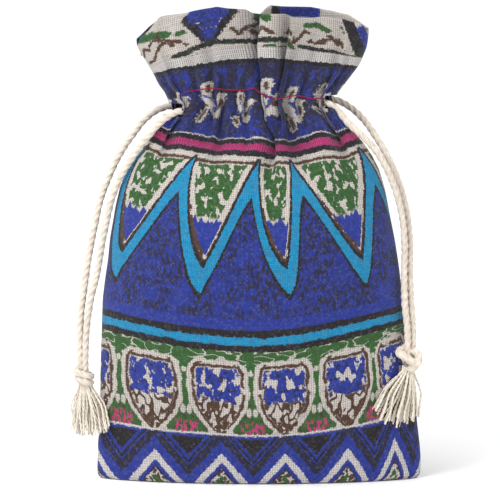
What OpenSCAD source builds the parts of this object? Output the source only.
// Gathered drawstring pouch: two cloth panels closed by side seams and a base
// fold, a casing round the neck with two cords, and a header above the casing
// that opens as two lips. Millimetres, +Z up, origin at the middle of the base.

/* [Bag] */
// Width of the filled bag across its base
base_w = 121; // [116:1:126]
// Height from the base to the top of the header
bag_h = 177; // [174:1:182]
// Front-to-back depth of the filled belly
belly_d = 50; // [44:1:52]
// Thickness of one doubled layer of cloth
cloth_t = 1.2; // [1:0.1:1.4]
// How far the filled upper half leans to the left
lean = 2; // [0:0.5:3]

/* [Neck and casing] */
// Height of the middle of the casing
neck_z = 141.5; // [140.5:0.5:142]
// Height of the casing strip, top stitch row to bottom one included
casing_h = 9; // [8.6:0.2:9]
// Length of the casing across the gathered neck
casing_w = 50; // [48:1:52]
// Distance from the middle of the neck to the run of the cords
cord_y = 8.8; // [8.6:0.1:9]

/* [Drawcords] */
// Diameter of one twisted cotton cord
cord_d = 2.6; // [2.2:0.1:2.7]
// Height between the runs of the two cords inside the casing
run_gap = 2.9; // [2.8:0.1:3]
// Length of cord inside the casing that draws out with each tassel
run_len = 22; // [21:1:23]

/* [Stitching] */
// Number of stitches in one row along the casing
stitch_n = 14; // [10:1:18]
// Diameter of the sewing thread
thread_d = 0.6; // [0.4:0.1:0.8]

/* [Hidden] */

$fn = 48;
kx = base_w / 121;
ky = belly_d / 50;
panel_top = neck_z - casing_h / 2;
header_low = neck_z + casing_h / 2 + 0.8;
neck_x = -lean;
exit_l = neck_x - casing_w / 2;
exit_r = neck_x + casing_w / 2;
low_run = neck_z - run_gap / 2;
high_run = neck_z + run_gap / 2;
seam_w = 5;
cols = 24;

// Half width and half depth of the filled bag against height
half_w = [[0, 60.5], [8, 60.6], [30, 59.2], [50, 57.8], [68, 56.3], [84, 54.4], [95, 52.8],
    [103, 51.2], [112, 49], [120, 45.6], [126, 41.4], [132, 37.5], [137, 33.6], [142, 31],
    [147, 33], [155, 38.5], [162, 42], [167, 43.2], [180, 43.6]];
half_d = [[0, 13], [8, 14.5], [20, 17.5], [35, 21], [50, 23.2], [65, 24.6], [80, 25],
    [95, 24.6], [105, 23.6], [114, 21.6], [122, 19], [130, 16], [137, 13.2], [142, 12],
    [147, 12.6], [155, 14.5], [163, 16.4], [180, 17.6]];

function a_at(z) = kx * lookup(z, half_w);
function b_at(z) = ky * lookup(z, half_d);
function cx_at(z) = -lean * lookup(z, [[0, 0], [30, 0.15], [50, 0.7], [68, 1], [200, 1]]);
function e_at(z) = lookup(z, [[0, 1.4], [60, 1.25], [110, 1.12], [137, 1.06], [200, 1.1]]);

// Point on the cloth at height z and angle f round the front, moved inwards by d
function cloth(z, f, d) = [cx_at(z) + (a_at(z) - d) * cos(f),
    -(b_at(z) - d) * pow(abs(sin(f)), e_at(z)), z];
function angle(c, f0) = f0 + (360 - 2 * f0 + 180) * c / cols;
// Height of the header's top edge: high in the middle, lower at the side seams
function rim(f) = bag_h - 10 * pow(1 - abs(sin(f)), 1.3);

// Closed sheet of cloth from rings that run out along the outer face and back
// along the inner face
module sheet_skin(rings, n) {
    m = 2 * (n + 1);
    last = len(rings) - 1;
    polyhedron([for (r = rings) each r], concat(
        [for (r = [0:last - 1], k = [0:m - 1]) let (q = (k + 1) % m) [r * m + k, (r + 1) * m + k, (r + 1) * m + q]],
        [for (r = [0:last - 1], k = [0:m - 1]) let (q = (k + 1) % m) [r * m + k, (r + 1) * m + q, r * m + q]],
        [for (c = [0:n - 1]) [c, c + 1, m - 2 - c]],
        [for (c = [0:n - 1]) [c, m - 2 - c, m - 1 - c]],
        [for (c = [0:n - 1]) [last * m + c, last * m + m - 2 - c, last * m + c + 1]],
        [for (c = [0:n - 1]) [last * m + c, last * m + m - 1 - c, last * m + m - 2 - c]]
    ), convexity = 8);
}

// Solid skinned over a row of convex rings with the same number of points
module ring_skin(rings) {
    n = len(rings[0]);
    last = len(rings) - 1;
    polyhedron([for (r = rings) each r], concat(
        [for (r = [0:last - 1], k = [0:n - 1]) let (q = (k + 1) % n) [r * n + k, (r + 1) * n + k, (r + 1) * n + q]],
        [for (r = [0:last - 1], k = [0:n - 1]) let (q = (k + 1) % n) [r * n + k, (r + 1) * n + q, r * n + q]],
        [[for (k = [0:n - 1]) k]],
        [[for (k = [n - 1:-1:0]) last * n + k]]
    ), convexity = 4);
}

function unit(v) = v / norm(v);
function way(p, i) = unit(i == 0 ? p[1] - p[0] : i == len(p) - 1 ? p[i] - p[i - 1] : unit(p[i + 1] - p[i]) + unit(p[i] - p[i - 1]));
// Ring of n points square to t; up is never along t
function ring(c, t, up, r, n) = let (u = unit(cross(up, t)), v = cross(t, u))
    [for (k = [0:n - 1]) c + r * (cos(360 * (k + 0.5) / n) * u + sin(360 * (k + 0.5) / n) * v)];
module tube(p, up) {
    ring_skin([for (i = [0:len(p) - 1]) ring(p[i], i == 0 ? unit([p[1][0] - p[0][0], 0, 0]) : way(p, i), up, cord_d / 2, 8)]);
}

panel_z = [for (i = [0:22]) 1.2 + (panel_top - 1.2) * i / 22];
module panel() {
    sheet_skin([for (z = panel_z) concat(
        [for (c = [0:cols]) cloth(z, angle(c, 180), 0)],
        [for (c = [cols:-1:0]) cloth(z, angle(c, 180), cloth_t)])], cols);
}
module front_panel() { color([0.17, 0.25, 0.65]) panel(); }
module back_panel() { color([0.17, 0.25, 0.65]) mirror([0, 1, 0]) panel(); }

// The cloth folded flat under the filled bag
module base_fold() {
    color([0.1, 0.12, 0.3]) linear_extrude(1.2)
        polygon(concat(
            [for (c = [0:cols]) let (p = cloth(0, angle(c, 180), 0)) [p[0], p[1]]],
            [for (c = [cols - 1:-1:1]) let (p = cloth(0, angle(c, 180), 0)) [p[0], -p[1]]]));
}

// Seam allowance turned inwards along a side edge
module side_seam(s) {
    zs = [for (i = [1:2:21]) panel_z[i]];
    ring_skin([for (z = zs) let (x1 = cx_at(z) + s * (a_at(z) - cloth_t + 0.3), x0 = x1 - s * seam_w, y = 0.5)
        s > 0 ? [[x0, -y, z], [x1, -y, z], [x1, y, z], [x0, y, z]] : [[x1, -y, z], [x0, -y, z], [x0, y, z], [x1, y, z]]]);
}
module left_side_seam() { color([0.85, 0.83, 0.78]) side_seam(-1); }
module right_side_seam() { color([0.85, 0.83, 0.78]) side_seam(1); }

// The casing is two layers of cloth with the cords between them
wall_out = cord_d / 2 + 0.2;
// The inner layer stops short at both ends, and leaves the cords room to turn.
turn_in = 8;
module casing_layer(y, cut) {
    translate([exit_l + cut, y, panel_top]) cube([casing_w - 2 * cut, cloth_t, casing_h]);
}
module front_casing_outer() { color([0.2, 0.3, 0.7]) casing_layer(-cord_y - wall_out - cloth_t, 0); }
module front_casing_inner() { color([0.75, 0.75, 0.8]) casing_layer(-cord_y + wall_out, turn_in); }
module back_casing_outer() { color([0.2, 0.3, 0.7]) casing_layer(cord_y + wall_out, 0); }
module back_casing_inner() { color([0.75, 0.75, 0.8]) casing_layer(cord_y - wall_out - cloth_t, turn_in); }

// Two rows of running stitches that hold the casing's layers together
module casing_stitches() {
    pitch = casing_w / stitch_n;
    depth = 2 * (wall_out + cloth_t);
    for (row = [-1, 1], i = [0:stitch_n - 1])
        translate([exit_l + pitch * (i + 0.5), -cord_y, neck_z + row * (casing_h / 2 - 0.9)]) {
            translate([-pitch * 0.3, -depth / 2, 0]) rotate([0, 90, 0]) cylinder(d = thread_d, h = pitch * 0.6);
            for (s = [-1, 1]) translate([s * pitch * 0.3, -depth / 2 - thread_d / 2, 0]) rotate([-90, 0, 0])
                cylinder(d = thread_d, h = depth + thread_d);
        }
}
module front_casing_stitches() { color([0.6, 0.12, 0.24]) casing_stitches(); }
module back_casing_stitches() { color([0.6, 0.12, 0.24]) mirror([0, 1, 0]) casing_stitches(); }

// One lip of the header, and the hem turned down inside it. The ends stop
// short of the side seams so that the two lips part freely.
lip_from = 188;
module lip(d0, d1, drop, lift) {
    rows = 9;
    sheet_skin([for (r = [0:rows]) concat(
        [for (c = [0:cols]) let (f = angle(c, lip_from), z = header_low + lift + (rim(f) - drop - header_low - lift) * r / rows) cloth(z, f, d0)],
        [for (c = [cols:-1:0]) let (f = angle(c, lip_from), z = header_low + lift + (rim(f) - drop - header_low - lift) * r / rows) cloth(z, f, d1)])], cols);
}
module header_lip() { lip(0, cloth_t, 0, 0); }
module facing_lip() { lip(cloth_t + 0.05, 2 * cloth_t + 0.05, 0.8, 0.8); }
module front_header() { color([0.85, 0.82, 0.78]) header_lip(); }
module back_header() { color([0.85, 0.82, 0.78]) mirror([0, 1, 0]) header_lip(); }
module front_hem_facing() { color([0.7, 0.72, 0.8]) facing_lip(); }
module back_hem_facing() { color([0.7, 0.72, 0.8]) mirror([0, 1, 0]) facing_lip(); }

// Cord routes, outwards from the casing and down to the knot. Each one starts
// at the casing's end at the height of its own run.
left_front = [[-27, -8.8, 140], [-31.5, -9, 139], [-36.5, -8.6, 135.5], [-41, -7.5, 130.5], [-47, -6, 122.5],
    [-51.5, -4.8, 115], [-54.8, -4, 107], [-57, -3.5, 98], [-58.8, -3.3, 89], [-60.5, -3.2, 79],
    [-62.8, -3.2, 68], [-64.2, -3.4, 56], [-64.5, -3.2, 43]];
left_back = [[-27, 8.8, 140], [-32, 8.4, 140.6], [-37.5, 7, 139.4], [-42.5, 5.2, 136], [-47, 3.5, 130.5],
    [-51.5, 1.8, 124], [-55.5, 0.5, 116], [-59, -0.1, 107], [-61.6, -0.3, 96], [-63.8, -0.3, 85],
    [-65.6, -0.4, 73], [-67.2, -0.8, 61], [-67.4, -1.4, 52], [-67.2, -1.8, 43]];
right_front = [[23, -8.8, 143], [27.2, -9.4, 143], [31, -10, 140.5], [34, -9.8, 136], [37.5, -9.2, 131.5],
    [41.5, -8.4, 127], [45.5, -7.4, 121.5], [49, -6.6, 114.5], [51.8, -6, 106.5], [53.5, -5.6, 98],
    [54.2, -5.5, 89], [54, -5.9, 78.5], [54, -6.8, 67.5], [54.8, -8.2, 58], [55.2, -9.6, 50]];
right_back = [[23, 8.8, 143], [28.5, 8.6, 142.8], [34, 7.4, 140.2], [38.8, 5.6, 136], [42.6, 3.8, 131],
    [46.4, 2, 125], [50, 0.3, 118], [53.2, -1, 109.5], [55.4, -2, 100], [56.4, -2.7, 90],
    [56.4, -3.3, 79], [57, -4.2, 68], [58, -5.8, 58], [58, -7.4, 50]];

// A route scaled with the bag, its first point moved to the casing's end
function routed(p, x, y, z) = [for (i = [0:len(p) - 1]) let (w = max(0, 1 - i / 4), q = [p[i][0] * kx, p[i][1], p[i][2]])
    q + w * ([x, y, z] - [p[0][0] * kx, p[0][1], p[0][2]])];
module strand(p, x, y, z) { color([0.87, 0.83, 0.77]) tube(routed(p, x, y, z), [0, 1, 0]); }
module left_front_strand() { strand(left_front, exit_l, -cord_y, low_run); }
module left_back_strand() { strand(left_back, exit_l, cord_y, low_run); }
module right_front_strand() { strand(right_front, exit_r, -cord_y, high_run); }
module right_back_strand() { strand(right_back, exit_r, cord_y, high_run); }

// The lengths of cord that lie in the casing and draw out with the tassel. They
// stop just inside its end, where the hanging strands bend.
bend_gap = 1.2;
module channel_runs(x, z) {
    color([0.87, 0.83, 0.77]) for (s = [-1, 1]) translate([x, s * cord_y, z]) rotate([0, 90, 0]) cylinder(d = cord_d, h = run_len - bend_gap, $fn = 24);
}
module left_channel_runs() { channel_runs(exit_l + bend_gap, low_run); }
module right_channel_runs() { channel_runs(exit_r - run_len, high_run); }

// The far half of each cord, round the opposite side of the neck
module cord_loop(z) {
    x0 = exit_l + run_len;
    x1 = exit_r - turn_in + 0.4;
    turn = [for (f = [-90:22.5:90]) [x1 + 5.4 * cos(f), cord_y * sin(f), z]];
    color([0.87, 0.83, 0.77]) ring_skin([for (i = [0:len(turn) - 1])
        ring(turn[i], i == 0 ? [1, 0, 0] : i == len(turn) - 1 ? [-1, 0, 0] : way(turn, i), [0, 0, 1], cord_d / 2, 8)]);
    color([0.87, 0.83, 0.77]) for (s = [-1, 1]) translate([x0, s * cord_y, z]) rotate([0, 90, 0]) rotate(22.5)
        cylinder(d = cord_d, h = x1 - x0, $fn = 8);
}
module left_cord_loop() { cord_loop(low_run); }
module right_cord_loop() { translate([2 * neck_x, 0, 0]) mirror([1, 0, 0]) cord_loop(high_run); }

// Overhand knot of the two strands together, as its outer shape
module knot(c, w, d, h) {
    color([0.87, 0.83, 0.77]) translate(c) ring_skin([for (i = [0:6]) let (f = -75 + 25 * i)
        [for (k = [0:15]) [w / 2 * cos(f) * cos(22.5 * k), d / 2 * cos(f) * sin(22.5 * k), h / 2 * sin(f) / sin(75)]]]);
}
left_knot_c = [-66 * kx, -2.5, 39.5];
right_knot_c = [56.5 * kx, -9.2, 46.5];
module left_knot() { knot(left_knot_c, 8.6, 6.8, 8.4); }
module right_knot() { knot(right_knot_c, 9.6, 7, 9.6); }

// Frayed ends of the two strands below the knot, as a flattened fan
module tassel(top, foot, half, thick) {
    side = unit([half[1], -half[0], 0]) * -thick;
    color([0.9, 0.87, 0.82]) ring_skin([for (i = [3:-1:0]) let (t = i / 3, s = pow(t, 0.8), c = foot + (top - foot) * (1 - t))
        [for (k = [0:11]) c + cos(30 * k) * (half * s + [2.4, 0, 0] * (1 - s)) + sin(30 * k) * (side * s + [0, 2, 0] * (1 - s))]]);
}
module left_tassel() { tassel([-65.8 * kx, -2.5, 36], [-63.2 * kx, -6.5, 19], [7.3, -2.6, 0], 1.6); }
module right_tassel() { tassel([56.2 * kx, -9.2, 42.4], [51.2 * kx, -12, 24], [9, 2.6, 0], 1.6); }

front_panel();
back_panel();
base_fold();
left_side_seam();
right_side_seam();
front_casing_outer();
front_casing_inner();
back_casing_outer();
back_casing_inner();
front_casing_stitches();
back_casing_stitches();
front_header();
back_header();
front_hem_facing();
back_hem_facing();
left_cord_loop();
left_channel_runs();
left_front_strand();
left_back_strand();
left_knot();
left_tassel();
right_cord_loop();
right_channel_runs();
right_front_strand();
right_back_strand();
right_knot();
right_tassel();
